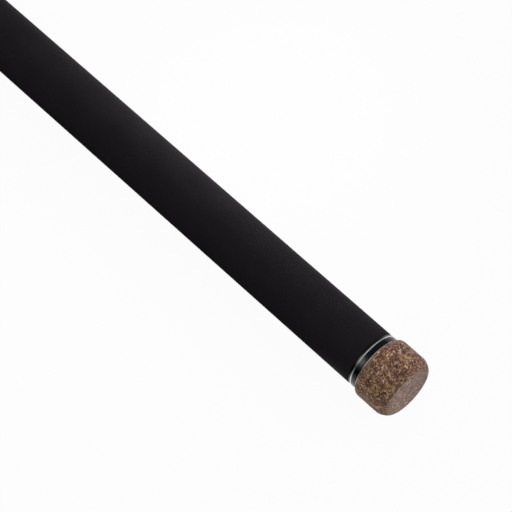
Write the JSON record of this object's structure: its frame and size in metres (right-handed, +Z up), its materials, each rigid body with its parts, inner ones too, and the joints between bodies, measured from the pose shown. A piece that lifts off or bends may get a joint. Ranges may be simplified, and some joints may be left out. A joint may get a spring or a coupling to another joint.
{
  "type": "match rod",
  "caption": "Three-piece match fishing rod, put together: burl cork butt cap, foam grips, screw reel seat, tapered blanks with push ferrules and single-foot line guides.",
  "frame": {"origin": "centre of the butt cap's flat end face", "axes": "+X along the rod from the butt to the tip; the rod lies on its side, with the guides and the reel's side towards -Y and +Z up from the surface it lies on"},
  "size_m": [3.8972, 0.0552, 0.03],
  "materials": {
    "cork": "ground burl cork, matt",
    "foam": "fine matt black foam",
    "check": "gloss black with bright edges",
    "carbon": "gloss black lacquer over carbon",
    "seat": "satin black moulding",
    "hood": "dark anodised, satin",
    "frame": "dark plated steel",
    "ring": "polished dark ceramic",
    "thread": "black thread under clear lacquer",
    "arbor": "rigid foam"
  },
  "bodies": {
    "butt_section": {"butt_cap": "cork", "butt_check": "check", "rear_grip": "foam", "rear_seat_check": "check", "rear_arbor": "arbor", "front_arbor": "arbor", "reel_seat": "seat", "fixed_hood": "hood", "fore_grip": "foam", "fore_check": "check", "keeper_bracket": "frame", "keeper_whipping": "thread", "butt_blank": "carbon", "guide_1_frame": "frame", "guide_1_ring": "ring", "guide_1_whipping": "thread"},
    "sliding_hood": {"moving_hood": "hood"},
    "turning_nut": {"lock_nut": "hood"},
    "keeper_loop": {"keeper_ring": "frame"},
    "middle_section": {"middle_blank": "carbon", "middle_socket_whipping": "thread", "guide_2_frame": "frame", "guide_2_ring": "ring", "guide_2_whipping": "thread", "guide_3_frame": "frame", "guide_3_ring": "ring", "guide_3_whipping": "thread", "guide_4_frame": "frame", "guide_4_ring": "ring", "guide_4_whipping": "thread", "guide_5_frame": "frame", "guide_5_ring": "ring", "guide_5_whipping": "thread"},
    "tip_section": {"tip_blank": "carbon", "tip_socket_whipping": "thread", "guide_6_frame": "frame", "guide_6_ring": "ring", "guide_6_whipping": "thread", "guide_7_frame": "frame", "guide_7_ring": "ring", "guide_7_whipping": "thread", "guide_8_frame": "frame", "guide_8_ring": "ring", "guide_8_whipping": "thread", "guide_9_frame": "frame", "guide_9_ring": "ring", "guide_9_whipping": "thread", "guide_10_frame": "frame", "guide_10_ring": "ring", "guide_10_whipping": "thread", "guide_11_frame": "frame", "guide_11_ring": "ring", "guide_11_whipping": "thread", "guide_12_frame": "frame", "guide_12_ring": "ring", "guide_12_whipping": "thread", "tip_top_frame": "frame", "tip_top_ring": "ring", "tip_top_whipping": "thread"}
  },
  "joints": [
    {"name": "middle_ferrule", "type": "slide", "parent": "butt_section", "child": "middle_section", "axis": [1, 0, 0], "range_m": [0, 0.12]},
    {"name": "tip_ferrule", "type": "slide", "parent": "middle_section", "child": "tip_section", "axis": [1, 0, 0], "range_m": [0, 0.1]},
    {"name": "hood_slide", "type": "slide", "parent": "butt_section", "child": "sliding_hood", "axis": [-1, 0, 0], "range_m": [0, 0.02]},
    {"name": "nut_turn", "type": "hinge", "parent": "sliding_hood", "child": "turning_nut", "pos_m": [0.49665, 0, 0], "axis": [-1, 0, 0], "range_deg": [0, 3600]},
    {"name": "keeper_swing", "type": "hinge", "parent": "butt_section", "child": "keeper_loop", "pos_m": [0.65005, -0.00753, 0], "axis": [0, 0, 1], "range_deg": [0, 175]}
  ],
  "couplings": [
    {"joint": "nut_turn", "follows": "hood_slide", "rad_per_m": 3141.6}
  ]
}
